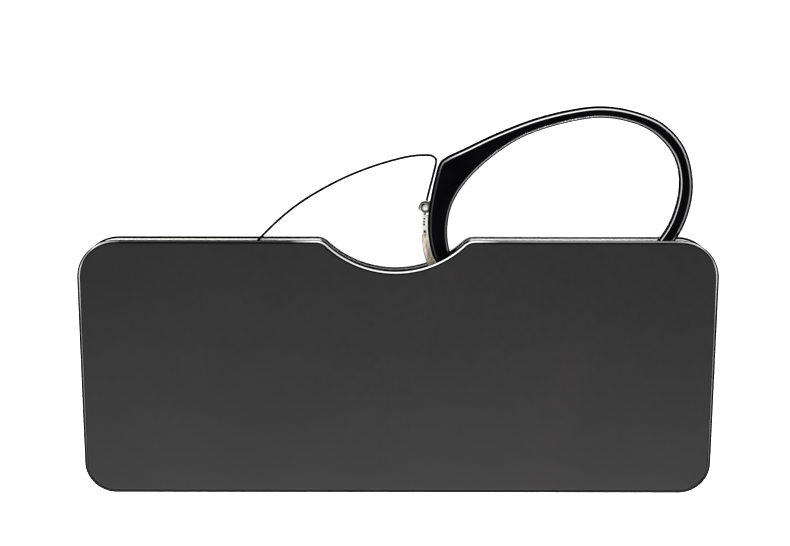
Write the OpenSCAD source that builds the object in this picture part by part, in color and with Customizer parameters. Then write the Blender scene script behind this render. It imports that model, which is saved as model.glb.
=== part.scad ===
// Folding nose-clip reading glasses in a flat slip case.
// The case lies on its back in the XY plane, its mouth faces +Y, and the
// glasses slide along Y. +Z points from the case's back to its front.

/* [Case] */
// Length of the case, along X
case_l = 100; // [98:1:108]
// Width of the case, from its closed edge to its mouth, along Y
case_w = 41; // [41:0.2:44]
// Thickness of the case, along Z
case_t = 4.6; // [4.6:0.1:5.4]
// Thickness of each case panel
panel_t = 0.8; // [0.6:0.1:0.8]
// Thickness of each lining sheet
lining_t = 0.2; // [0.1:0.05:0.2]
// Width of the edge wall between the two panels
edge_w = 1.8; // [1.2:0.1:2.2]
// Corner radius beside the mouth
mouth_corner_r = 6; // [3:0.5:8]
// Corner radius at the closed edge
base_corner_r = 5; // [3:0.5:8]

/* [Thumb notch] */
// Radius of the notch's round bottom
notch_r = 15.5; // [12:0.5:20]
// Depth of the notch below the mouth
notch_depth = 4.9; // [3:0.1:6]
// Offset of the notch from the middle of the case, along X
notch_x = -0.4; // [-2:0.1:2]
// Radius of the notch's soft shoulders
shoulder_r = 2.5; // [1:0.5:4]

/* [Lenses] */
// Thickness of each lens
lens_t = 0.5; // [0.4:0.05:0.6]
// Depth to which a lens sits in its rim's groove
groove = 0.3; // [0.2:0.05:0.4]
// Radial width of the thin wire rim
wire_w = 0.4; // [0.3:0.05:0.45]

/* [Pivot] */
// Radius of the pivot screw's shank
shank_r = 0.45; // [0.4:0.01:0.5]
// Running clearance of the folding half's eye on the shank
run_gap = 0.05; // [0.02:0.01:0.08]
// Outer radius of the pivot eyes
eye_r = 1; // [0.9:0.05:1.1]
// Turns of the flat spiral return spring
spring_turns = 1.25; // [1.25:0.25:1.75]
// Width of the spring's strip, seen along the pivot
spring_strip = 0.13; // [0.08:0.01:0.14]
// Distance of the spring's peg from the pivot
peg_at = 1.25; // [1.25:0.05:1.35]

/* [Nose pads] */
// Thickness of each steel pad carrier
carrier_t = 0.2; // [0.15:0.05:0.25]
// Thickness of each silicone pad
pad_t = 0.6; // [0.4:0.05:0.8]

/* [Hidden] */
e = 0.05;

// heights of the two layers of the glasses above the case's back
lo0 = 1.25; lo1 = 2.1;          // folding (left) half
up0 = 2.35; up1 = 3.45;         // fixed (right) half
lens_lo = (lo0 + lo1)/2 - lens_t/2;
lens_up = (up0 + up1)/2 - lens_t/2;
arm_t = 0.4;                    // pivot arm's thickness
lining_back = 0.2;              // how far the linings stop short of the mouth
pivot = [4.2, 25.5];            // the bridge pivot

// right rim, outside: down the nose side, along the bottom, up and back over the top
RIM_OUT = [[6.3,32.3],[5.6,29.8],[4.95,26.6],[4.6,23.4],[4.8,20.2],[5.75,17.2],[8.2,14.4],[12.4,12.2],
           [18,11.1],[24,11],[30,11.9],[35.6,14],[40.4,17.2],[43.6,21],[45.3,25.6],[45.5,30.2],
           [44,35],[40.6,38.6],[36,40.5],[31,41.2],[26,40.6],[20.6,39.2],[15,37],[10.2,34.7],[7.5,33.4]];
// right rim, inside edge round the lens, in the same sense
RIM_IN = [[7.7,22.8],[7.8,20],[8.6,17.4],[10.6,15.1],[13.8,13.6],[18.6,12.8],[24,12.8],[29.4,13.6],
          [34.4,15.5],[38.6,18.3],[41.6,22],[43.1,26],[43.4,30],[42.3,33.7],[39.5,36.8],[35.8,38.6],
          [31,39.35],[25.6,38.55],[20.3,36.9],[16.6,34.9],[13,32.1],[10.2,29.1],[8.4,26]];
// left half, outside edge of the wire rim, as it lies folded down
LEFT_OUT = [[6.1,32.6],[5.6,33.4],[4.5,33.7],[1.2,33.4],[-4.4,31.8],[-10,29.4],[-15.7,26],[-20.4,22],[-23.8,18],
            [-25.6,13.6],[-25,9.2],[-22,5.8],[-17,3.9],[-11,3.4],[-5,3.9],[0.6,5.8],[4.6,9.4],
            [5.8,14],[4.9,18.4],[4.3,22],[4.5,25.4],[5,27.8],[5.6,30.2]];

// smooth closed curve through control points, n steps between two points
function cr(a, b, c, d, t) = 0.5*(2*b + (c - a)*t + (2*a - 5*b + 4*c - d)*t*t + (3*b - a - 3*c + d)*t*t*t);
function loop(P, n = 4) = let(m = len(P))
    [for (i = [0:m-1]) for (k = [0:n-1]) cr(P[(i+m-1)%m], P[i], P[(i+1)%m], P[(i+2)%m], k/n)];
// points moved outward by d from a closed curve that runs counter-clockwise
function out_n(Q, i) = let(m = len(Q), v = Q[(i+1)%m] - Q[(i+m-1)%m]) [v.y, -v.x]/norm(v);
function grow(Q, d) = [for (i = [0:len(Q)-1]) Q[i] + d*out_n(Q, i)];
// ribbon along part of a closed curve, from d0 to d1 outside it
function ribbon(Q, i0, i1, d0, d1) = concat(
    [for (i = [i0:i1]) Q[i] + d0*out_n(Q, i)],
    [for (i = [i1:-1:i0]) Q[i] + d1*out_n(Q, i)]);
// arc of points about c
function arc(c, r, a0, a1, n) = [for (k = [0:n]) c + r*[cos(a0 + (a1-a0)*k/n), sin(a0 + (a1-a0)*k/n)]];

rim_o = loop(RIM_OUT, 4);
rim_i = loop(RIM_IN, 4);
left_o = loop(LEFT_OUT, 4);

// the case's outline, inset all round by d, with the thumb notch
hx = case_l/2; hy = case_w/2;
notch_cy = hy - notch_depth + notch_r;
// half the notch's width where the soft shoulders meet the mouth
sh_cy = hy - shoulder_r;
sh_dx = sqrt(pow(notch_r + shoulder_r, 2) - pow(notch_cy - sh_cy, 2));
sh_a = atan2(notch_cy - sh_cy, sh_dx);
function case_outline(d = 0, notch = true) = concat(
    arc([-hx + base_corner_r, -hy + base_corner_r], base_corner_r - d, 180, 270, 10),
    arc([ hx - base_corner_r, -hy + base_corner_r], base_corner_r - d, 270, 360, 10),
    arc([ hx - mouth_corner_r, hy - mouth_corner_r], mouth_corner_r - d, 0, 90, 10),
    notch ? concat(
        arc([notch_x + sh_dx, sh_cy], shoulder_r - d, 90, 180 - sh_a, 6),
        arc([notch_x, notch_cy], notch_r + d, -sh_a, -180 + sh_a, 20),
        arc([notch_x - sh_dx, sh_cy], shoulder_r - d, sh_a, 90, 6)) : [],
    arc([-hx + mouth_corner_r, hy - mouth_corner_r], mouth_corner_r - d, 90, 180, 10));

module slab(pts, z0, z1) { translate([0, 0, z0]) linear_extrude(z1 - z0) polygon(pts); }
module post(c, r, z0, z1, n = 48) { translate([c.x, c.y, z0]) cylinder(r = r, h = z1 - z0, $fn = n); }

// ---- case ----
module case_back_shell() { color([0.22, 0.22, 0.23]) slab(case_outline(), 0, panel_t); }
module case_front_shell() { color([0.23, 0.225, 0.235]) slab(case_outline(), case_t - panel_t, case_t); }
// U-shaped wall round three sides, which leaves the mouth open
module case_edge_wall() {
    color([0.18, 0.18, 0.19]) difference() {
        slab(case_outline(0, false), panel_t, case_t - panel_t);
        slab(case_outline(edge_w, false), panel_t - e, case_t - panel_t + e);
        translate([-hx + edge_w, 0, panel_t - e])
            cube([case_l - 2*edge_w, case_w, case_t - 2*panel_t + 2*e]);
    }
}
module lining(z0) {
    intersection() {
        slab(case_outline(), z0, z0 + lining_t);
        union() {
            slab(case_outline(edge_w, false), z0 - e, z0 + lining_t + e);
            translate([-hx + edge_w, 0, z0 - e])
                cube([case_l - 2*edge_w, hy - lining_back, lining_t + 2*e]);
        }
        // the lining stops short of the notch's edge
        difference() {
            translate([-hx, -hy, z0 - e]) cube([case_l, case_w - lining_back, lining_t + 2*e]);
            post([notch_x, notch_cy], notch_r + lining_back, z0 - 2*e, z0 + lining_t + 2*e, 96);
        }
    }
}
module back_lining() { color([0.1, 0.1, 0.11]) lining(panel_t); }
module front_lining() { color([0.1, 0.1, 0.11]) lining(case_t - panel_t - lining_t); }

// ---- fixed (right) half ----
// plan of the arm that joins the right rim to the pivot
arm_dir = [0.94, 0.34];
arm_nrm = [-0.34, 0.94];
arm_plan = [pivot + 0.75*arm_nrm, pivot - 0.75*arm_nrm,
            pivot + 3.3*arm_dir - 0.6*arm_nrm, pivot + 3.6*arm_dir, pivot + 3.3*arm_dir + 0.6*arm_nrm];
rivet_at = [pivot + 1.8*arm_dir, pivot + 2.9*arm_dir];

module right_rim() {
    color([0.02, 0.02, 0.02]) difference() {
        slab(rim_o, up0, up1);
        slab(rim_i, up0 - e, up1 + e);
        slab(grow(rim_i, groove), lens_up, lens_up + lens_t);
        // seat of the pivot arm, open underneath
        slab(arm_plan, up0 - e, up0 + arm_t);
        post(pivot, eye_r, up0 - e, up0 + arm_t);
        // round relief for the spring
        post(pivot, 1.2, up0 + arm_t - e, up1 + e);
        for (p = rivet_at) post(p, 0.3, up0, up0 + 0.8, 24);
    }
}
module right_lens() { color([0.85, 0.9, 0.92, 0.35]) slab(grow(rim_i, groove), lens_up, lens_up + lens_t); }
module right_pad_carrier() {
    color("silver") difference() {
      union() {
        slab(ribbon(rim_o, 11, 25, 0, carrier_t), up0 + 0.25, up1 - 0.25);
        // small teeth of the carrier, above the pad
        for (t = [[21.95, 0.7], [22.98, 0.12], [23.4, 0.16], [23.86, 0.44]])
            translate([3.65, t[0], up0 + 0.35]) cube([1.1, t[1], up1 - up0 - 0.7]);
      }
      slab(rim_o, up0, up1);
    }
}
// the pad is fuller in the middle of its length
right_pad_plan = concat(
    [for (i = [14:25]) rim_o[i] + carrier_t*out_n(rim_o, i)],
    [for (i = [25:-1:14]) rim_o[i] + (carrier_t + pad_t*(1.25 + 0.6*sin(180*(i - 14)/11)))*out_n(rim_o, i)]);
module right_nose_pad() {
    color([0.72, 0.62, 0.5, 0.7]) slab(right_pad_plan, up0 + 0.05, up1 - 0.05);
}
module pivot_arm() {
    color("silver") difference() {
        union() { slab(arm_plan, up0, up0 + arm_t); post(pivot, eye_r, up0, up0 + arm_t); }
        post(pivot, shank_r, up0 - e, up0 + arm_t + e);
        for (p = rivet_at) post(p, 0.3, up0 - e, up0 + arm_t + e, 24);
    }
}
module arm_rivets() { color("gray") for (p = rivet_at) post(p, 0.3, up0, up0 + 0.8, 24); }
head_z = up0 + arm_t;
module pivot_screw() {
    color("silver") difference() {
        union() {
            post(pivot, shank_r, 1.05, head_z);
            post(pivot, 0.4, head_z, up1 - 0.1);
        }
        translate([pivot.x - 1, pivot.y - 0.07, up1 - 0.4]) cube([2, 0.14, 0.5]);
    }
}
module pivot_washer() {
    color("gainsboro") difference() {
        post(pivot, 0.85, lo1 + 0.08, up0);
        post(pivot, shank_r, lo1, up0 + e);
    }
}
module pivot_nut() {
    color("silver") difference() {
        post(pivot, 0.85, 1.05, lo0 - 0.02, 6);
        post(pivot, shank_r, 1, lo0 + e);
    }
}
// flat spiral round the slotted end of the screw; its outer end stops at the peg
peg_dir = 200;
peg = pivot + peg_at*[cos(peg_dir), sin(peg_dir)];
function spiral(turns, r0, r1, n) = [for (k = [0:n]) let(u = k/n, a = peg_dir - 360*turns*(1 - u), r = r0 + (r1 - r0)*u)
    pivot + r*[cos(a), sin(a)]];
spiral_n = 28*ceil(spring_turns);
spiral_in = spiral(spring_turns, 0.46, 0.92, spiral_n);
spiral_out = spiral(spring_turns, 0.46 + spring_strip, 0.92 + spring_strip, spiral_n);
module return_spring() {
    color("silver") slab(concat(spiral_out, [for (k = [spiral_n:-1:0]) spiral_in[k]]), head_z + 0.05, head_z + 0.45);
}

// ---- folding (left) half ----
module left_lens() {
    color([0.85, 0.9, 0.92, 0.35]) difference() {
        slab(grow(left_o, -wire_w/2), lens_lo, lens_lo + lens_t);
        post(pivot, eye_r, lo0 - e, lo1 + e);
        post(peg, 0.35, lo0 - e, lo1 + e);
    }
}
barrel = [-26, 12.6];
module left_wire_rim() {
    color([0.12, 0.12, 0.12]) difference() {
        slab(left_o, lo0, lo1);
        slab(grow(left_o, -wire_w), lo0 - e, lo1 + e);
        slab(grow(left_o, -wire_w/2), lens_lo, lens_lo + lens_t);
        post(pivot, eye_r, lo0 - e, lo1 + e);
        post(peg, 0.35, lo0 - e, lo1 + e);
        post(barrel, 0.8, lo0 - e, lo1 + e);
    }
}
module left_pivot_eye() {
    color("silver") difference() {
        union() {
            post(pivot, eye_r, lo0 + 0.02, lo1 + 0.04);
            post(peg, 0.35, lo0 + 0.02, lo1 + 0.04);
        }
        post(pivot, shank_r + run_gap, lo0 - e, lo1 + 2*e);
        post(peg, 0.12, lo0 + 0.4, lo1 + 2*e, 24);
    }
}
// peg that the spring's outer end pushes on
module spring_peg() { color("silver") post(peg, 0.12, lo0 + 0.4, head_z + 0.4, 24); }
module left_pad_carrier() {
    color("silver") slab(ribbon(left_o, 62, 76, 0, carrier_t), lo0 + 0.1, lo1 - 0.1);
}
module left_nose_pad() {
    color([0.72, 0.62, 0.5, 0.7]) slab(ribbon(left_o, 62, 74, carrier_t, carrier_t + pad_t), lo0, lo1);
}
// closing barrel that pinches the wire round the lens
module left_rim_barrel() {
    color("silver") difference() {
        post(barrel, 0.8, lo0, lo1);
        slab(grow(left_o, -wire_w/2), lens_lo, lens_lo + lens_t);
        post(barrel, 0.35, lo0 - e, lo1 + e, 32);
    }
}
module left_rim_screw() {
    color("gray") difference() {
        post(barrel, 0.35, lo0, lo1, 32);
        slab(grow(left_o, -wire_w/2), lens_lo, lens_lo + lens_t);
        translate([barrel.x - 0.5, barrel.y - 0.06, lo1 - 0.15]) cube([1, 0.12, 0.3]);
    }
}

case_back_shell();
case_front_shell();
case_edge_wall();
back_lining();
front_lining();
right_rim();
right_lens();
right_nose_pad();
right_pad_carrier();
pivot_arm();
arm_rivets();
pivot_screw();
pivot_washer();
pivot_nut();
return_spring();
left_lens();
left_wire_rim();
left_pivot_eye();
spring_peg();
left_nose_pad();
left_pad_carrier();
left_rim_barrel();
left_rim_screw();
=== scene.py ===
import math

import bmesh
import bpy
from mathutils import Matrix, Vector
from mathutils.geometry import tessellate_polygon


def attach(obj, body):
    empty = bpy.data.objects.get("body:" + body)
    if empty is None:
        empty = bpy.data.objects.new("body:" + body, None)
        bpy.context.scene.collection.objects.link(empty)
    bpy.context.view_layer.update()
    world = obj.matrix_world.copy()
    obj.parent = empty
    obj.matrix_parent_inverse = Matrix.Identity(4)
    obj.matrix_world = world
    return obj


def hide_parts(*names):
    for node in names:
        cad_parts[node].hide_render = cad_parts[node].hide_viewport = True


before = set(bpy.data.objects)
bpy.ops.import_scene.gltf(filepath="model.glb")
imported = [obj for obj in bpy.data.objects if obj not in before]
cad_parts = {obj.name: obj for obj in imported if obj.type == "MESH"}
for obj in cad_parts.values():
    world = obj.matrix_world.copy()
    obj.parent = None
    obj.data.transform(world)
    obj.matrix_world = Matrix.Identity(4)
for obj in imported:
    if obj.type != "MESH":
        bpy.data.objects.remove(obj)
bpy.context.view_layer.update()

MM = 0.001


# ---------------------------------------------------------------- outlines
def cr(a, b, c, d, t):
    return [
        0.5 * (2 * b[k] + (c[k] - a[k]) * t
               + (2 * a[k] - 5 * b[k] + 4 * c[k] - d[k]) * t * t
               + (3 * b[k] - a[k] - 3 * c[k] + d[k]) * t * t * t)
        for k in (0, 1)
    ]


def loop(points, n):
    """Smooth closed curve through the control points."""
    m = len(points)
    return [cr(points[i - 1], points[i], points[(i + 1) % m], points[(i + 2) % m], k / n)
            for i in range(m) for k in range(n)]


def even(pts, count):
    """The closed curve again, with its points evenly spaced."""
    m = len(pts)
    lens = [math.dist(pts[i], pts[(i + 1) % m]) for i in range(m)]
    total = sum(lens)
    out, i, done = [], 0, 0.0
    for k in range(count):
        want = total * k / count
        while done + lens[i] < want:
            done += lens[i]
            i += 1
        f = (want - done) / lens[i]
        a, b = pts[i], pts[(i + 1) % m]
        out.append([a[0] + (b[0] - a[0]) * f, a[1] + (b[1] - a[1]) * f])
    return out


def normals(pts):
    """Outward normals of a closed counter-clockwise curve."""
    m = len(pts)
    out = []
    for i in range(m):
        dx = pts[(i + 1) % m][0] - pts[i - 1][0]
        dy = pts[(i + 1) % m][1] - pts[i - 1][1]
        s = math.hypot(dx, dy)
        out.append((dy / s, -dx / s))
    return out


def grow(pts, d):
    return [[p[0] + d * n[0], p[1] + d * n[1]] for p, n in zip(pts, normals(pts))]


RIM_OUT = [[6.3,32.3],[5.6,29.8],[4.95,26.6],[4.6,23.4],[4.8,20.2],[5.75,17.2],[8.2,14.4],[12.4,12.2],
           [18,11.1],[24,11],[30,11.9],[35.6,14],[40.4,17.2],[43.6,21],[45.3,25.6],[45.5,30.2],
           [44,35],[40.6,38.6],[36,40.5],[31,41.2],[26,40.6],[20.6,39.2],[15,37],[10.2,34.7],[7.5,33.4]]
RIM_IN = [[7.7,22.8],[7.8,20],[8.6,17.4],[10.6,15.1],[13.8,13.6],[18.6,12.8],[24,12.8],[29.4,13.6],
          [34.4,15.5],[38.6,18.3],[41.6,22],[43.1,26],[43.4,30],[42.3,33.7],[39.5,36.8],[35.8,38.6],
          [31,39.35],[25.6,38.55],[20.3,36.9],[16.6,34.9],[13,32.1],[10.2,29.1],[8.4,26]]
LEFT_OUT = [[6.1,32.6],[5.6,33.4],[4.5,33.7],[1.2,33.4],[-4.4,31.8],[-10,29.4],[-15.7,26],[-20.4,22],[-23.8,18],
            [-25.6,13.6],[-25,9.2],[-22,5.8],[-17,3.9],[-11,3.4],[-5,3.9],[0.6,5.8],[4.6,9.4],
            [5.8,14],[4.9,18.4],[4.3,22],[4.5,25.4],[5,27.8],[5.6,30.2]]
WIRE_W = 0.4
LINING_BACK = 0.2
LO0, LO1, UP0, UP1 = 1.25, 2.1, 2.35, 3.45

rim_o = even(loop(RIM_OUT, 16), 420)
rim_i = even(loop(RIM_IN, 16), 360)
left_o = even(loop(LEFT_OUT, 16), 360)

# case
HX, HY, CT, PT = 50.0, 20.5, 4.6, 0.8
BR, MR = 5.0, 6.0
NR, ND, NX, SR = 15.5, 4.9, -0.4, 2.5
EDGE_W = 1.8
N_CY = HY - ND + NR
SH_Y = HY - SR
SH_X = math.sqrt((NR + SR) ** 2 - (N_CY - SH_Y) ** 2)
SH_A = math.degrees(math.atan2(N_CY - SH_Y, SH_X))


def arc(c, r, a0, a1, n):
    return [[c[0] + r * math.cos(math.radians(a0 + (a1 - a0) * k / n)),
             c[1] + r * math.sin(math.radians(a0 + (a1 - a0) * k / n))] for k in range(n + 1)]


def blend_arc(c, r0, r1, a0, a1, n):
    """Arc whose radius eases from r0 to r1."""
    out = []
    for k in range(n + 1):
        u = k / n
        r = r0 + (r1 - r0) * u * u * (3 - 2 * u)
        a = math.radians(a0 + (a1 - a0) * u)
        out.append([c[0] + r * math.cos(a), c[1] + r * math.sin(a)])
    return out


def case_outline(d=0.0, dm=None):
    """The case's plan, inset by d along the sides and base and by dm along the mouth and notch."""
    dm = d if dm is None else dm
    pts = arc([-HX + BR, -HY + BR], BR - d, 180, 270, 20)
    pts += arc([HX - BR, -HY + BR], BR - d, 270, 360, 20)
    pts += blend_arc([HX - MR, HY - MR], MR - d, MR - dm, 0, 90, 24)
    pts += arc([NX + SH_X, SH_Y], SR - dm, 90, 180 - SH_A, 12)
    pts += arc([NX, N_CY], NR + dm, -SH_A, -180 + SH_A, 56)[1:-1]
    pts += arc([NX - SH_X, SH_Y], SR - dm, SH_A, 90, 12)
    pts += blend_arc([-HX + MR, HY - MR], MR - dm, MR - d, 90, 180, 24)
    return pts


# ---------------------------------------------------------------- mesh work
def new_object(name, bm, smooth=True, crisp=False):
    me = bpy.data.meshes.new(name)
    bmesh.ops.remove_doubles(bm, verts=bm.verts, dist=1e-8)
    bmesh.ops.recalc_face_normals(bm, faces=bm.faces)
    bm.to_mesh(me)
    bm.free()
    if smooth:
        me.polygons.foreach_set("use_smooth", [True] * len(me.polygons))
    if crisp:
        me.set_sharp_from_angle(angle=math.radians(24))
    ob = bpy.data.objects.new(name, me)
    bpy.context.scene.collection.objects.link(ob)
    return ob


def ring_verts(bm, pts, z):
    return [bm.verts.new((p[0] * MM, p[1] * MM, (z(p) if callable(z) else z) * MM)) for p in pts]


def bridge(bm, a, b, mat=0):
    m = len(a)
    for i in range(m):
        j = (i + 1) % m
        bm.faces.new((a[i], a[j], b[j], b[i])).material_index = mat


def cap(bm, rings, mat=0):
    """Fills the flat area between an outer ring and any inner rings."""
    flat = [v for r in rings for v in r]
    for tri in tessellate_polygon([[v.co for v in r] for r in rings]):
        try:
            bm.faces.new([flat[k] for k in tri]).material_index = mat
        except ValueError:
            pass


def profiled(name, outer, outer_prof, inner=None, inner_prof=None, crisp=False):
    """A solid lofted through (inset, z, material) steps of its outline, and of its hole's outline.
    outer and inner are functions of the inset; profiles run from the bottom face to the top face."""
    bm = bmesh.new()
    o_rings = [ring_verts(bm, outer(d), z) for d, z, m in outer_prof]
    for k in range(len(o_rings) - 1):
        bridge(bm, o_rings[k], o_rings[k + 1], outer_prof[k][2])
    if inner is not None:
        i_rings = [ring_verts(bm, inner(d), z) for d, z, m in inner_prof]
        for k in range(len(i_rings) - 1):
            bridge(bm, i_rings[k], i_rings[k + 1], inner_prof[k][2])
        cap(bm, [o_rings[0], i_rings[0]])
        cap(bm, [o_rings[-1], i_rings[-1]])
    else:
        cap(bm, [o_rings[0]])
        cap(bm, [o_rings[-1]])
    return new_object(name, bm, crisp=crisp)


def rounded(z0, z1, r_lo, r_hi, n=5, out=0.0, mat=0, shelf=0.15):
    """Profile of an edge rounded at the bottom and the top, with a flat shelf ring inside each."""
    prof = [(out + r_lo + shelf, z0, mat)] if r_lo else [(out + shelf, z0, mat)]
    if r_lo:
        for k in range(n + 1):
            a = math.radians(90 * k / n)
            prof.append((out + r_lo * (1 - math.sin(a)), z0 + r_lo * (1 - math.cos(a)), mat))
    else:
        prof.append((out, z0, mat))
    if r_hi:
        for k in range(n + 1):
            a = math.radians(90 * k / n)
            prof.append((out + r_hi * (1 - math.cos(a)), z1 - r_hi * (1 - math.sin(a)), mat))
        prof.append((out + r_hi + shelf, z1, mat))
    else:
        prof.append((out, z1, mat))
        prof.append((out + shelf, z1, mat))
    return prof


# ---------------------------------------------------------------- materials
def material(name):
    m = bpy.data.materials.new(name)
    m.use_nodes = True
    nt = m.node_tree
    b = nt.nodes["Principled BSDF"]
    return m, nt, b


def node(nt, kind, **inputs):
    n = nt.nodes.new(kind)
    for k, v in inputs.items():
        n.inputs[k.replace("_", " ")].default_value = v
    return n


def object_coords(nt):
    return nt.nodes.new("ShaderNodeTexCoord").outputs["Object"]


def ramp(nt, fac, stops):
    r = nt.nodes.new("ShaderNodeValToRGB")
    els = r.color_ramp.elements
    els[0].position, els[0].color = stops[0][0], (*stops[0][1], 1)
    els[1].position, els[1].color = stops[-1][0], (*stops[-1][1], 1)
    for pos, col in stops[1:-1]:
        e = els.new(pos)
        e.color = (*col, 1)
    nt.links.new(fac, r.inputs["Fac"])
    return r.outputs["Color"]


def map_range(nt, value, a, b, c, d):
    n = nt.nodes.new("ShaderNodeMapRange")
    n.inputs["From Min"].default_value, n.inputs["From Max"].default_value = a, b
    n.inputs["To Min"].default_value, n.inputs["To Max"].default_value = c, d
    nt.links.new(value, n.inputs["Value"])
    return n.outputs["Result"]


def bump(nt, height, strength, distance, normal=None):
    n = nt.nodes.new("ShaderNodeBump")
    n.inputs["Strength"].default_value = strength
    n.inputs["Distance"].default_value = distance
    nt.links.new(height, n.inputs["Height"])
    if normal is not None:
        nt.links.new(normal, n.inputs["Normal"])
    return n.outputs["Normal"]


def noise(nt, co, scale, detail=3.0, rough=0.5, out="Fac"):
    n = nt.nodes.new("ShaderNodeTexNoise")
    n.inputs["Scale"].default_value = scale
    n.inputs["Detail"].default_value = detail
    n.inputs["Roughness"].default_value = rough
    nt.links.new(co, n.inputs["Vector"])
    return n.outputs[out]


def soft_touch():
    """Matte dark grey case skin: faint mottling, fine stipple, a few pale specks."""
    m, nt, b = material("case_soft_touch")
    co = object_coords(nt)
    big = noise(nt, co, 60, 4, 0.6)
    fine = noise(nt, co, 900, 3, 0.6)
    mix = nt.nodes.new("ShaderNodeMath"); mix.operation = "MULTIPLY_ADD"
    nt.links.new(fine, mix.inputs[0]); mix.inputs[1].default_value = 0.35
    nt.links.new(big, mix.inputs[2])
    base = ramp(nt, mix.outputs[0], [(0.35, (0.0067, 0.0065, 0.0074)), (0.62, (0.0077, 0.0075, 0.0078)), (0.9, (0.0093, 0.0085, 0.0089))])
    # pale specks: the cores of sparse cells
    vo = nt.nodes.new("ShaderNodeTexVoronoi")
    vo.inputs["Scale"].default_value = 70
    nt.links.new(co, vo.inputs["Vector"])
    core = map_range(nt, vo.outputs["Distance"], 0.010, 0.024, 1.0, 0.0)
    pick = nt.nodes.new("ShaderNodeSeparateColor")
    nt.links.new(vo.outputs["Color"], pick.inputs["Color"])
    rare = map_range(nt, pick.outputs["Red"], 0.72, 0.74, 0.0, 1.0)
    sp = nt.nodes.new("ShaderNodeMath"); sp.operation = "MULTIPLY"
    nt.links.new(core, sp.inputs[0]); nt.links.new(rare, sp.inputs[1])
    mc = nt.nodes.new("ShaderNodeMix"); mc.data_type = "RGBA"
    nt.links.new(sp.outputs[0], mc.inputs["Factor"])
    nt.links.new(base, mc.inputs["A"])
    mc.inputs["B"].default_value = (0.10, 0.097, 0.093, 1)
    nt.links.new(mc.outputs["Result"], b.inputs["Base Color"])
    nt.links.new(map_range(nt, fine, 0.3, 0.7, 0.56, 0.68), b.inputs["Roughness"])
    b.inputs["Specular IOR Level"].default_value = 0.11
    n1 = bump(nt, noise(nt, co, 2600, 2, 0.5), 0.35, 0.00002)
    n2 = bump(nt, big, 0.12, 0.00008, n1)
    nt.links.new(n2, b.inputs["Normal"])
    return m


def edge_seal():
    """Polished chamfer of the front panel: brightest where thumbs rub the notch, duller along the base."""
    m, nt, b = material("case_edge_seal")
    co = object_coords(nt)
    v = noise(nt, co, 400, 3, 0.5)
    sep = nt.nodes.new("ShaderNodeSeparateXYZ")
    nt.links.new(co, sep.inputs["Vector"])
    far = nt.nodes.new("ShaderNodeVectorMath"); far.operation = "DISTANCE"
    flat_co = nt.nodes.new("ShaderNodeCombineXYZ")
    nt.links.new(sep.outputs["X"], flat_co.inputs["X"]); nt.links.new(sep.outputs["Y"], flat_co.inputs["Y"])
    nt.links.new(flat_co.outputs["Vector"], far.inputs[0])
    far.inputs[1].default_value = (NX * MM, N_CY * MM, 0)
    rub = map_range(nt, far.outputs["Value"], (NR + 0.8) * MM, (NR + 4) * MM, 1.0, 0.0)
    side = nt.nodes.new("ShaderNodeMath"); side.operation = "ABSOLUTE"
    nt.links.new(sep.outputs["X"], side.inputs[0])

    def times(a, b):
        n = nt.nodes.new("ShaderNodeMath"); n.operation = "MULTIPLY"
        nt.links.new(a, n.inputs[0]); nt.links.new(b, n.inputs[1])
        return n.outputs[0]

    def plus(a, b):
        n = nt.nodes.new("ShaderNodeMath"); n.operation = "ADD"; n.use_clamp = True
        nt.links.new(a, n.inputs[0]); nt.links.new(b, n.inputs[1])
        return n.outputs[0]
    corner = times(map_range(nt, side.outputs[0], 0.0430, 0.0470, 0.0, 0.85), map_range(nt, sep.outputs["Y"], 0.008, 0.015, 0.0, 1.0))
    right = times(map_range(nt, sep.outputs["X"], 0.0470, 0.0490, 0.0, 0.14), map_range(nt, sep.outputs["Y"], -0.018, -0.004, 0.0, 1.0))
    left = times(map_range(nt, sep.outputs["X"], -0.0490, -0.0470, 0.11, 0.0), map_range(nt, sep.outputs["Y"], -0.018, -0.004, 0.0, 1.0))
    mouth = times(map_range(nt, sep.outputs["X"], 0.010, 0.020, 0.0, 0.22), map_range(nt, sep.outputs["Y"], 0.0190, 0.0198, 0.0, 1.0))
    # the back panel's edge is polished only faintly, and only in the notch
    front = map_range(nt, sep.outputs["Z"], 0.001, 0.004, 0.0, 1.0)
    rub = times(rub, map_range(nt, sep.outputs["Z"], 0.001, 0.004, 0.30, 1.0))
    right = plus(right, left)
    rest = plus(plus(mouth, corner), plus(right, map_range(nt, sep.outputs["Y"], -0.017, -0.005, 0.0, 0.035)))
    total = plus(rub, times(rest, front))
    nt.links.new(ramp(nt, v, [(0.3, (0.003, 0.003, 0.0033)), (0.7, (0.006, 0.0058, 0.006))]), b.inputs["Base Color"])
    nt.links.new(map_range(nt, v, 0.3, 0.7, 0.12, 0.16), b.inputs["Roughness"])
    nt.links.new(total, b.inputs["Specular IOR Level"])
    b.inputs["IOR"].default_value = 2.3
    nt.links.new(total, b.inputs["Coat Weight"])
    b.inputs["Coat Roughness"].default_value = 0.12
    nt.links.new(bump(nt, v, 0.03, 0.00003), b.inputs["Normal"])
    return m


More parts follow.
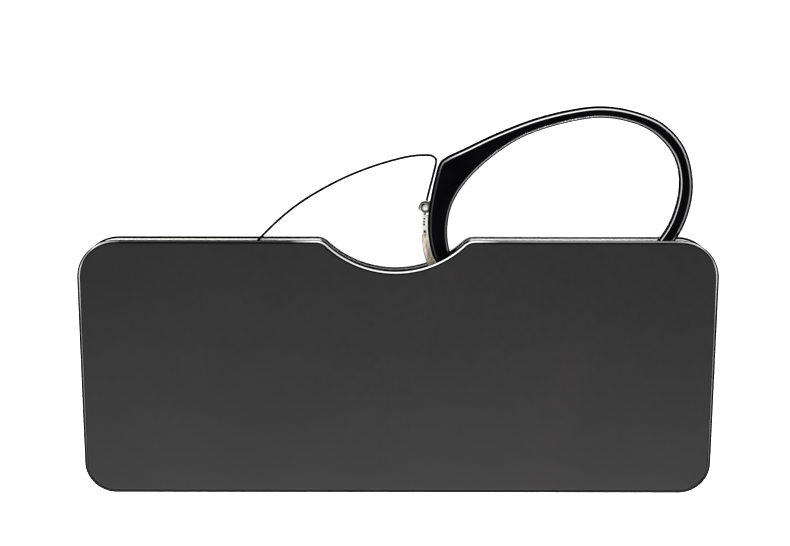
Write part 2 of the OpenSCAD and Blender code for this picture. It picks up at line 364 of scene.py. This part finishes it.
def matte_black_and_painted_shade(name, fade_shade_at_base):
    """Matte black edge. On the rim it is the rim's own black; on the case the near-black edge is painted shade, and
    with the flag set that painted shade fades to the skin's grey along the base.
    """
    m, nt, b = material(name)
    co = object_coords(nt)
    v = noise(nt, co, 600, 3, 0.5)
    col = ramp(nt, v, [(0.3, (0.0004, 0.0004, 0.0005)), (0.7, (0.0012, 0.0012, 0.0013))])
    # on the case this near-black is painted shade on the edge rounding; along the base it gives way to the skin's grey
    if fade_shade_at_base:
        sep = nt.nodes.new("ShaderNodeSeparateXYZ")
        nt.links.new(co, sep.inputs["Vector"])
        mc = nt.nodes.new("ShaderNodeMix"); mc.data_type = "RGBA"
        nt.links.new(map_range(nt, sep.outputs["Y"], -0.0200, -0.0150, 1.0, 0.0), mc.inputs["Factor"])
        nt.links.new(col, mc.inputs["A"])
        mc.inputs["B"].default_value = (0.0090, 0.0086, 0.0090, 1)
        col = mc.outputs["Result"]
    nt.links.new(col, b.inputs["Base Color"])
    nt.links.new(map_range(nt, v, 0.3, 0.7, 0.55, 0.7), b.inputs["Roughness"])
    b.inputs["Specular IOR Level"].default_value = 0.0
    nt.links.new(bump(nt, v, 0.1, 0.00003), b.inputs["Normal"])
    return m


def lining_cloth():
    m, nt, b = material("lining_microfibre")
    co = object_coords(nt)
    mp = nt.nodes.new("ShaderNodeMapping")
    mp.inputs["Rotation"].default_value = (0, 0, math.radians(45))
    nt.links.new(co, mp.inputs["Vector"])
    w1 = nt.nodes.new("ShaderNodeTexWave"); w1.inputs["Scale"].default_value = 900; w1.bands_direction = "X"
    w2 = nt.nodes.new("ShaderNodeTexWave"); w2.inputs["Scale"].default_value = 900; w2.bands_direction = "Y"
    for w in (w1, w2):
        w.inputs["Distortion"].default_value = 0.6
        nt.links.new(mp.outputs["Vector"], w.inputs["Vector"])
    mul = nt.nodes.new("ShaderNodeMath"); mul.operation = "MULTIPLY"
    nt.links.new(w1.outputs["Fac"], mul.inputs[0]); nt.links.new(w2.outputs["Fac"], mul.inputs[1])
    fz = noise(nt, co, 1500, 4, 0.7)
    nt.links.new(ramp(nt, fz, [(0.3, (0.66, 0.66, 0.65)), (0.75, (0.78, 0.78, 0.77))]), b.inputs["Base Color"])
    nt.links.new(map_range(nt, fz, 0.2, 0.8, 0.8, 1.0), b.inputs["Roughness"])
    b.inputs["Sheen Weight"].default_value = 0.35
    b.inputs["Sheen Roughness"].default_value = 0.5
    b.inputs["Specular IOR Level"].default_value = 0.2
    n1 = bump(nt, mul.outputs[0], 0.5, 0.00005)
    nt.links.new(bump(nt, fz, 0.3, 0.00005, n1), b.inputs["Normal"])
    return m


def black_gloss():
    """Polished black moulded rim, with a faint orange-peel and fine wear."""
    m, nt, b = material("rim_polished_black")
    co = object_coords(nt)
    v = noise(nt, co, 180, 4, 0.55)
    fine = noise(nt, co, 2400, 2, 0.5)
    nt.links.new(ramp(nt, v, [(0.35, (0.0007, 0.0007, 0.0009)), (0.7, (0.0015, 0.0014, 0.0017))]), b.inputs["Base Color"])
    nt.links.new(map_range(nt, fine, 0.3, 0.7, 0.05, 0.11), b.inputs["Roughness"])
    b.inputs["Specular IOR Level"].default_value = 0.18
    nt.links.new(bump(nt, v, 0.05, 0.00006), b.inputs["Normal"])
    return m


def black_edge():
    """The buffed chamfers of the rim, which pick up the light as thin lines."""
    m, nt, b = material("rim_buffed_chamfer")
    co = object_coords(nt)
    v = noise(nt, co, 700, 3, 0.5)
    sep = nt.nodes.new("ShaderNodeSeparateXYZ")
    nt.links.new(co, sep.inputs["Vector"])
    buff = map_range(nt, sep.outputs["X"], 0.0062, 0.0095, 0.05, 1.0)
    nt.links.new(ramp(nt, v, [(0.3, (0.004, 0.004, 0.0045)), (0.7, (0.008, 0.008, 0.0085))]), b.inputs["Base Color"])
    nt.links.new(map_range(nt, v, 0.3, 0.7, 0.07, 0.14), b.inputs["Roughness"])
    b.inputs["IOR"].default_value = 2.3
    nt.links.new(buff, b.inputs["Specular IOR Level"])
    nt.links.new(buff, b.inputs["Coat Weight"])
    b.inputs["Coat Roughness"].default_value = 0.06
    nt.links.new(bump(nt, v, 0.04, 0.00003), b.inputs["Normal"])
    return m


def black_wire():
    m, nt, b = material("wire_black_enamel")
    co = object_coords(nt)
    v = noise(nt, co, 500, 4, 0.6)
    nt.links.new(ramp(nt, v, [(0.3, (0.0006, 0.0006, 0.0007)), (0.75, (0.0018, 0.0017, 0.0019))]), b.inputs["Base Color"])
    nt.links.new(map_range(nt, v, 0.3, 0.7, 0.45, 0.6), b.inputs["Roughness"])
    b.inputs["Specular IOR Level"].default_value = 0.01
    nt.links.new(bump(nt, v, 0.1, 0.00003), b.inputs["Normal"])
    return m


def clear_lens():
    """Clear polished lens that lets light and the ground behind show through."""
    m, nt, b = material("lens_clear")
    co = object_coords(nt)
    v = noise(nt, co, 40, 2, 0.5)
    nt.links.new(ramp(nt, v, [(0.3, (0.975, 0.985, 0.985)), (0.7, (0.985, 0.99, 0.99))]), b.inputs["Base Color"])
    nt.links.new(map_range(nt, noise(nt, co, 900, 3, 0.6), 0.3, 0.7, 0.0, 0.02), b.inputs["Roughness"])
    b.inputs["IOR"].default_value = 1.5
    b.inputs["Transmission Weight"].default_value = 1.0
    b.inputs["Alpha"].default_value = 0.10
    return m


def silicone():
    """Pale warm translucent silicone with fine streaks along the strip."""
    m, nt, b = material("pad_silicone")
    co = object_coords(nt)
    mp = nt.nodes.new("ShaderNodeMapping")
    mp.inputs["Rotation"].default_value = (0, 0, math.radians(-14))
    mp.inputs["Scale"].default_value = (1, 0.16, 1)
    nt.links.new(co, mp.inputs["Vector"])
    v = noise(nt, mp.outputs["Vector"], 5200, 4, 0.65)
    fine = noise(nt, co, 1600, 3, 0.6)
    nt.links.new(ramp(nt, v, [(0.36, (0.16, 0.12, 0.085)), (0.50, (0.62, 0.53, 0.41)), (0.64, (0.93, 0.88, 0.79))]), b.inputs["Base Color"])
    nt.links.new(map_range(nt, fine, 0.3, 0.7, 0.28, 0.42), b.inputs["Roughness"])
    b.inputs["Transmission Weight"].default_value = 0.75
    b.inputs["IOR"].default_value = 1.41
    b.inputs["Specular IOR Level"].default_value = 0.3
    nt.links.new(bump(nt, v, 0.2, 0.00004), b.inputs["Normal"])
    return m


def steel(name, tone, r0, r1, brushed):
    m, nt, b = material(name)
    co = object_coords(nt)
    mp = nt.nodes.new("ShaderNodeMapping")
    mp.inputs["Scale"].default_value = (1, 12, 1) if brushed else (1, 1, 1)
    nt.links.new(co, mp.inputs["Vector"])
    v = noise(nt, mp.outputs["Vector"], 1500 if brushed else 700, 3, 0.6)
    lo = tuple(c * 0.82 for c in tone)
    nt.links.new(ramp(nt, v, [(0.3, lo), (0.7, tone)]), b.inputs["Base Color"])
    b.inputs["Metallic"].default_value = 1.0
    nt.links.new(map_range(nt, v, 0.3, 0.7, r0, r1), b.inputs["Roughness"])
    nt.links.new(bump(nt, v, 0.15 if brushed else 0.05, 0.00002), b.inputs["Normal"])
    return m


M_CASE, M_EDGE, M_LINING = soft_touch(), edge_seal(), lining_cloth()
# the case's near-black edge material is painted shade; the rim's edge material is the rim's own black
M_CASE_EDGE_SHADE, M_RIM_DARK = matte_black_and_painted_shade("case_edge_painted_shade", True), matte_black_and_painted_shade("rim_edge_black", False)
M_RIM, M_RIM_EDGE, M_WIRE = black_gloss(), black_edge(), black_wire()
M_LENS, M_PAD = clear_lens(), silicone()
M_STEEL = steel("steel_brushed", (0.62, 0.61, 0.595), 0.50, 0.62, True)
M_BRIGHT = steel("steel_satin", (0.90, 0.89, 0.87), 0.42, 0.55, False)
M_DARK = steel("steel_blackened", (0.030, 0.030, 0.031), 0.45, 0.60, False)


def finish_piece(ob, body, replaces, slot, *mats):
    for m in mats:
        ob.data.materials.append(m)
    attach(ob, body)
    if replaces:
        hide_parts(*replaces)
    return ob


# ---------------------------------------------------------------- case
T = 0.02  # pieces stay this much inside the CAD outline


def case_shell(name, nd, z0, z1, lip_top):
    """One flat panel with a chamfered, sealed edge on the side that shows."""
    if lip_top:
        # wall and ledge near-black with painted shade, polished chamfer, fine groove, face; the ledge is narrower along
        # the mouth
        prof = [((0.30, 0.30), z0, 0), ((0.10, 0.12), z0, 2), ((T + 0.03, 0.07), z0 + 0.04, 2), ((T, T), z0 + 0.14, 2),
                ((T, T), z1 - 0.24, 2), ((0.05, 0.022), z1 - 0.19, 2), ((0.12, 0.026), z1 - 0.17, 2),
                ((0.33, 0.03), z1 - 0.16, 1), ((0.49, 0.24), z1 - 0.01, 2), ((0.51, 0.26), z1 - 0.05, 2),
                ((0.56, 0.42), z1 - 0.05, 2), ((0.60, 0.46), z1 - 0.01, 0),
                ((0.64, 0.50), z1, 0), ((0.85, 0.80), z1, 0)]
    else:
        prof = [(0.6, z0, 0), (0.30, z0, 2), (0.18, z0 + 0.03, 2), (T, z0 + 0.2, 2), (T, z1 - 0.20, 2),
                (0.03, z1 - 0.14, 2), (0.10, z1 - 0.10, 2), (0.23, z1 - 0.09, 1), (0.37, z1 - 0.005, 2),
                (0.40, z1, 2), (0.6, z1, 2), (0.9, z1, 0)]
    ob = profiled(name, lambda d: case_outline(*d) if isinstance(d, tuple) else case_outline(d), prof, crisp=True)
    return finish_piece(ob, "case", [nd], "case_shell", M_CASE, M_EDGE, M_CASE_EDGE_SHADE)


front = case_shell("case_front_panel", "case_front_shell", CT - PT, CT, True)
back = case_shell("case_back_panel", "case_back_shell", 0.0, PT, False)


def u_outline(d):
    """Plan of the U-shaped wall, inset by d all round; its two arms end in points at the mouth."""
    w = EDGE_W
    a = math.degrees(math.acos((MR - w + d) / (MR - d)))
    out = arc([-HX + MR, HY - MR], MR - d, 180 - a, 180, 12)
    out += arc([-HX + BR, -HY + BR], BR - d, 180, 270, 20)
    out += arc([HX - BR, -HY + BR], BR - d, 270, 360, 20)
    out += arc([HX - MR, HY - MR], MR - d, 0, a, 12)
    out += arc([HX - BR, -HY + BR], BR - w + d, 0, -90, 14)
    out += arc([-HX + BR, -HY + BR], BR - w + d, 270, 180, 14)
    return out


# the wall between the panels carries the case edge's painted shade
wall = profiled("case_side_wall", u_outline,
                [(0.25, PT, 0), (0.10, PT, 0), (0.06, PT + 0.05, 0), (0.05, PT + 0.12, 0),
                 (0.05, CT - PT - 0.12, 0), (0.06, CT - PT - 0.05, 0), (0.10, CT - PT, 0), (0.25, CT - PT, 0)])
finish_piece(wall, "case", ["case_edge_wall"], "case_shell", M_CASE_EDGE_SHADE)


def lining_outline():
    """Plan of a lining sheet: inside the side wall and short of the mouth, its corners and the notch."""
    w, d, back = EDGE_W, 0.05, LINING_BACK + 0.10
    y1 = HY - back
    pts = arc([-HX + BR, -HY + BR], BR - w - d, 180, 270, 10)
    pts += arc([HX - BR, -HY + BR], BR - w - d, 270, 360, 10)
    turn = math.degrees(math.acos((MR - w - d) / (MR - back)))
    pts += arc([HX - MR, HY - MR], MR - back, turn, 90, 14)
    r = NR + LINING_BACK + 0.48
    a = math.degrees(math.asin((N_CY - y1) / r))
    pts += arc([NX, N_CY], r, -a, -180 + a, 48)
    pts += arc([-HX + MR, HY - MR], MR - back, 90, 180 - turn, 14)
    return pts


def lining(name, nd, z0):
    outline = lining_outline()

    def ring(d):
        return grow(outline, -d)
    ob = profiled(name, ring, [(0.12, z0, 0), (0.0, z0 + 0.005, 0), (0.0, z0 + 0.12, 0), (0.05, z0 + 0.18, 0), (0.15, z0 + 0.19, 0)])
    finish_piece(ob, "case", [nd], "lining", M_LINING)
    return ob


lining("lining_back", "back_lining", PT)
lining("lining_front", "front_lining", CT - PT - 0.2 + 0.005)

# ---------------------------------------------------------------- right half
# stepped edge: outer wall, narrow ledge, buffed chamfer, flat face
step_o = [(0.40, UP0, 0), (0.15, UP0, 2), (0.06, UP0 + 0.05, 2), (T, UP0 + 0.16, 2), (T, UP1 - 0.28, 2),
          (0.05, UP1 - 0.20, 2), (0.10, UP1 - 0.16, 2), (0.36, UP1 - 0.13, 2), (0.38, UP1 - 0.118, 1),
          (0.54, UP1 - 0.015, 1), (0.58, UP1, 0), (0.66, UP1, 0)]
step_i = [(0.30, UP0, 0), (0.12, UP0, 2), (0.05, UP0 + 0.04, 2), (0.0, UP0 + 0.12, 2), (0.0, UP1 - 0.22, 2),
          (0.03, UP1 - 0.17, 2), (0.10, UP1 - 0.14, 2), (0.22, UP1 - 0.118, 1), (0.36, UP1 - 0.015, 1),
          (0.40, UP1, 0), (0.48, UP1, 0)]
rim = profiled("right_rim_shell", lambda d: grow(rim_o, -d), step_o,
               lambda d: grow(rim_i, d), step_i)
finish_piece(rim, "right_half", ["right_rim"], "rim_black", M_RIM, M_RIM_EDGE, M_RIM_DARK)


def lens_mesh(name, outline, z_mid, half_t, dome, cut=None):
    """A thin lens: rings shrinking to the middle, domed towards the front, with a bevelled edge."""
    bm = bmesh.new()
    cx = sum(p[0] for p in outline) / len(outline)
    cy = sum(p[1] for p in outline) / len(outline)
    scales = [1.0, 0.992, 0.97, 0.92, 0.84, 0.74, 0.62, 0.5, 0.38, 0.26, 0.14, 0.05]

    def z_of(s):
        return dome * (1 - s * s)
    tops, bots = [], []
    for k, s in enumerate(scales):
        edge = 0.06 if k == 0 else 0.0
        pts = [[cx + (p[0] - cx) * s, cy + (p[1] - cy) * s] for p in outline]
        tops.append(ring_verts(bm, pts, z_mid + half_t - edge + z_of(s)))
        bots.append(ring_verts(bm, pts, z_mid - half_t + edge + z_of(s) * 0.6))
    for k in range(len(scales) - 1):
        bridge(bm, tops[k], tops[k + 1])
        bridge(bm, bots[k + 1], bots[k])
    bridge(bm, bots[0], tops[0])
    t = bm.verts.new((cx * MM, cy * MM, (z_mid + half_t + dome) * MM))
    b = bm.verts.new((cx * MM, cy * MM, (z_mid - half_t + dome * 0.6) * MM))
    m = len(outline)
    for i in range(m):
        j = (i + 1) % m
        bm.faces.new((tops[-1][i], tops[-1][j], t))
        bm.faces.new((bots[-1][j], bots[-1][i], b))
    return new_object(name, bm)


rl = lens_mesh("right_lens_pane", grow(rim_i, 0.25), (UP0 + UP1) / 2 - 0.02, 0.22, 0.18)
finish_piece(rl, "right_half", ["right_lens"], "lens_clear", M_LENS)


def swept_pad(name, base, i0, i1, d0, width, z0, z1):
    """A soft strip along part of a closed curve, with round edges and tapered round ends."""
    nrm = normals(base)
    bm = bmesh.new()
    rings = []
    n = i1 - i0
    sides = 20
    for k in range(n + 1):
        u = k / n
        # round the ends over the strip's own width
        length = sum(math.dist(base[i], base[i + 1]) for i in range(i0, i1))
        s_here = u * length
        near = min(s_here, length - s_here)
        r_end = (z1 - z0) / 2
        f = 1.0 if near >= r_end else math.sqrt(max(0.0, 1 - (1 - near / r_end) ** 2))
        f = max(f, 0.03)
        p, nn = base[i0 + k], nrm[i0 + k]
        w = width(u)
        cd, hd = d0 + w / 2, w / 2
        cz, hz = (z0 + z1) / 2, (z1 - z0) / 2
        ring = []
        for j in range(sides):
            a = 2 * math.pi * j / sides
            ca, sa = math.cos(a), math.sin(a)
            # superellipse section, squarer against the carrier
            e = 0.6
            dd = math.copysign(abs(ca) ** e, ca) * hd
            zz = math.copysign(abs(sa) ** e, sa) * hz
            if dd > 0:
                dd *= f
                zz *= (0.35 + 0.65 * f)
            else:
                zz *= (0.35 + 0.65 * f)
            x = p[0] + nn[0] * (cd + dd)
            y = p[1] + nn[1] * (cd + dd)
            ring.append(bm.verts.new((x * MM, y * MM, (cz + zz) * MM)))
        rings.append(ring)
    for k in range(n):
        bridge(bm, rings[k], rings[k + 1])
    bm.faces.new(rings[0])
    bm.faces.new(rings[-1][::-1])
    return new_object(name, bm)


def nearest(pts, p):
    return min(range(len(pts)), key=lambda i: math.dist(pts[i], p))


# the pads span the same stretch of each outline as in the CAD
rim_4, left_4 = loop(RIM_OUT, 4), loop(LEFT_OUT, 4)
i_a, i_b = nearest(rim_o, rim_4[14]), nearest(rim_o, rim_4[25])
rp = swept_pad("right_pad_silicone", rim_o, i_a + 1, i_b - 1, 0.20,
               lambda u: 0.6 * (1.22 + 0.57 * math.sin(math.pi * u)), UP0 + 0.06, UP1 - 0.06)
finish_piece(rp, "right_half", ["right_nose_pad"], "pad_silicone", M_PAD)

# ---------------------------------------------------------------- left half
PIVOT = (4.2, 25.5)


def bite(ob, c, r):
    """Cuts a round hole right through a piece of the folding half, to make room for its pivot eye."""
    bm = bmesh.new()
    ring = [[c[0] + r * math.cos(2 * math.pi * k / 64), c[1] + r * math.sin(2 * math.pi * k / 64)] for k in range(64)]
    lo, hi = ring_verts(bm, ring, LO0 - 0.5), ring_verts(bm, ring, LO1 + 0.5)
    bridge(bm, lo, hi)
    bm.faces.new(lo)
    bm.faces.new(hi)
    cutter = new_object("cutter", bm, smooth=False)
    md = ob.modifiers.new("bite", "BOOLEAN")
    md.operation, md.solver, md.object = "DIFFERENCE", "EXACT", cutter
    bpy.context.view_layer.update()
    me = bpy.data.meshes.new_from_object(ob.evaluated_get(bpy.context.evaluated_depsgraph_get()))
    ob.modifiers.clear()
    ob.data = me
    me.materials.clear()
    me.polygons.foreach_set("material_index", [0] * len(me.polygons))
    bpy.data.objects.remove(cutter)


wire_prof_o = [(0.10, LO0, 0), (0.05, LO0 + 0.03, 0), (0.03, LO0 + 0.10, 0), (T, LO0 + 0.25, 0), (T, LO1 - 0.20, 0),
               (0.03, LO1 - 0.07, 0), (0.05, LO1 - 0.02, 0), (0.10, LO1, 0)]
wire_prof_i = [(0.10, LO0, 0), (0.05, LO0 + 0.03, 0), (0.02, LO0 + 0.10, 0), (0.0, LO0 + 0.25, 0), (0.0, LO1 - 0.20, 0),
               (0.02, LO1 - 0.07, 0), (0.04, LO1 - 0.02, 0), (0.10, LO1, 0)]
wire = profiled("left_wire", lambda d: grow(left_o, -d), wire_prof_o,
                lambda d: grow(left_o, -WIRE_W + d), wire_prof_i)
bite(wire, PIVOT, 0.95)
finish_piece(wire, "left_half", ["left_wire_rim"], "wire_black", M_WIRE)

ll = lens_mesh("left_lens_pane", grow(left_o, -0.2), (LO0 + LO1) / 2 - 0.03, 0.22, 0.12)
bite(ll, PIVOT, 1.05)
finish_piece(ll, "left_half", ["left_lens"], "lens_clear", M_LENS)

j_lo, j_hi = nearest(left_o, left_4[62]), nearest(left_o, left_4[74])
lp = swept_pad("left_pad_silicone", left_o, j_lo + 1, j_hi - 1, 0.20, lambda u: 0.58, LO0 + 0.02, LO1 - 0.02)
finish_piece(lp, "left_half", ["left_nose_pad"], "pad_silicone", M_PAD)


# ---------------------------------------------------------------- CAD hardware that stays
def dress(nd, mat, width=0.0):
    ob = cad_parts[nd]
    for s in ob.material_slots:
        s.material = mat
    if not ob.material_slots:
        ob.data.materials.append(mat)
    if width:
        bv = ob.modifiers.new("edge", "BEVEL")
        bv.width = width * MM
        bv.segments = 3
        bv.limit_method = "ANGLE"
        bv.angle_limit = math.radians(40)
        bv.harden_normals = False
        wn = ob.modifiers.new("wn", "WEIGHTED_NORMAL")
        wn.keep_sharp = False
    return ob


for nd, mat, w in (("right_pad_carrier", M_STEEL, 0.03), ("pivot_arm", M_BRIGHT, 0.05), ("arm_rivets", M_STEEL, 0.0),
                   ("pivot_screw", M_BRIGHT, 0.06), ("pivot_washer", M_STEEL, 0.03), ("pivot_nut", M_BRIGHT, 0.03),
                   ("return_spring", M_DARK, 0.0), ("left_pivot_eye", M_BRIGHT, 0.06), ("spring_peg", M_BRIGHT, 0.02),
                   ("left_pad_carrier", M_STEEL, 0.03),
                   ("left_rim_barrel", M_STEEL, 0.06), ("left_rim_screw", M_BRIGHT, 0.03)):
    dress(nd, mat, w)

# ---------------------------------------------------------------- floor, light, camera
fl = bpy.data.meshes.new("floor")
fl.from_pydata([(-3, -3, -0.00003), (3, -3, -0.00003), (3, 3, -0.00003), (-3, 3, -0.00003)], [], [(0, 1, 2, 3)])
floor = bpy.data.objects.new("floor", fl)
bpy.context.scene.collection.objects.link(floor)
m, nt, b = material("floor_white")
v = noise(nt, object_coords(nt), 8, 2, 0.5)
nt.links.new(ramp(nt, v, [(0.3, (0.84, 0.84, 0.84)), (0.7, (0.86, 0.86, 0.86))]), b.inputs["Base Color"])
b.inputs["Roughness"].default_value = 0.9
b.inputs["Specular IOR Level"].default_value = 0.0
b.inputs["Emission Color"].default_value = (1, 1, 1, 1)
b.inputs["Emission Strength"].default_value = 0.85
floor.data.materials.append(m)

world = bpy.data.worlds.new("studio")
bpy.context.scene.world = world
world.use_nodes = True
wt = world.node_tree
bg = wt.nodes["Background"]
tc = wt.nodes.new("ShaderNodeTexCoord")
sep = wt.nodes.new("ShaderNodeSeparateXYZ")
wt.links.new(tc.outputs["Generated"], sep.inputs["Vector"])


def wmath(op, a, b=None, c=None, clamp=False):
    n = wt.nodes.new("ShaderNodeMath")
    n.operation = op
    n.use_clamp = clamp
    for k, x in enumerate((a, b, c)):
        if x is None:
            continue
        if isinstance(x, (int, float)):
            n.inputs[k].default_value = x
        else:
            wt.links.new(x, n.inputs[k])
    return n.outputs[0]


def wramp(fac, stops):
    rr = wt.nodes.new("ShaderNodeValToRGB")
    els = rr.color_ramp.elements
    els[0].position, els[0].color = stops[0][0], (stops[0][1],) * 3 + (1,)
    els[1].position, els[1].color = stops[-1][0], (stops[-1][1],) * 3 + (1,)
    for pos, val in stops[1:-1]:
        els.new(pos).color = (val,) * 3 + (1,)
    wt.links.new(fac, rr.inputs["Fac"])
    return rr.outputs["Color"]


# a soft band of light at mid height, strongest behind the mouth side, over a dim room and a dark ceiling
room = wramp(sep.outputs["Z"], [(0.0, 0.8), (0.20, 0.6), (0.75, 0.35), (0.87, 0.08), (1.0, 0.04)])
band = wramp(sep.outputs["Z"], [(0.0, 0.0), (0.18, 0.05), (0.28, 1.0), (0.76, 1.0), (0.86, 0.04), (1.0, 0.0)])
toward = wmath("MULTIPLY_ADD", sep.outputs["X"], -0.5, wmath("MULTIPLY", sep.outputs["Y"], 0.87))
gain = wmath("MAXIMUM", wmath("MULTIPLY_ADD", toward, 2.0, 1.4), 0.3)
lit = wmath("MULTIPLY", band, gain)
total = wt.nodes.new("ShaderNodeMix")
total.data_type = "RGBA"
total.blend_type = "ADD"
total.inputs["Factor"].default_value = 1.0
wt.links.new(room, total.inputs["A"])
wt.links.new(lit, total.inputs["B"])
wt.links.new(total.outputs["Result"], bg.inputs["Color"])
bg.inputs["Strength"].default_value = 1.0


def area(name, loc, target, size, power, size_y=None):
    ld = bpy.data.lights.new(name, "AREA")
    ld.energy = power
    ld.shape = "RECTANGLE"
    ld.size, ld.size_y = size, size_y or size
    ob = bpy.data.objects.new(name, ld)
    ob.location = loc
    ob.rotation_mode = "QUATERNION"
    ob.rotation_quaternion = (Vector(target) - Vector(loc)).to_track_quat("-Z", "Y")
    bpy.context.scene.collection.objects.link(ob)
    return ob


area("front_low", (0, -0.105, 0.055), (0, -0.01, 0), 0.26, 0.9, 0.04)

cam_d = bpy.data.cameras.new("camera")
cam = bpy.data.objects.new("camera", cam_d)
bpy.context.scene.collection.objects.link(cam)
cam_d.sensor_width = 36.0
cam_d.lens = 62.19
cam_d.clip_start, cam_d.clip_end = 0.01, 20
tilt, roll = math.radians(10.85), math.radians(-0.08)
cam.matrix_world = (Matrix.Translation((-0.47 * MM, 55.35 * MM, 212.81 * MM))
                    @ Matrix.Rotation(-tilt, 4, "X") @ Matrix.Rotation(-roll, 4, "Z"))
bpy.context.scene.camera = cam
bpy.context.scene.view_settings.view_transform = "Standard"
bpy.context.scene.view_settings.look = "None"
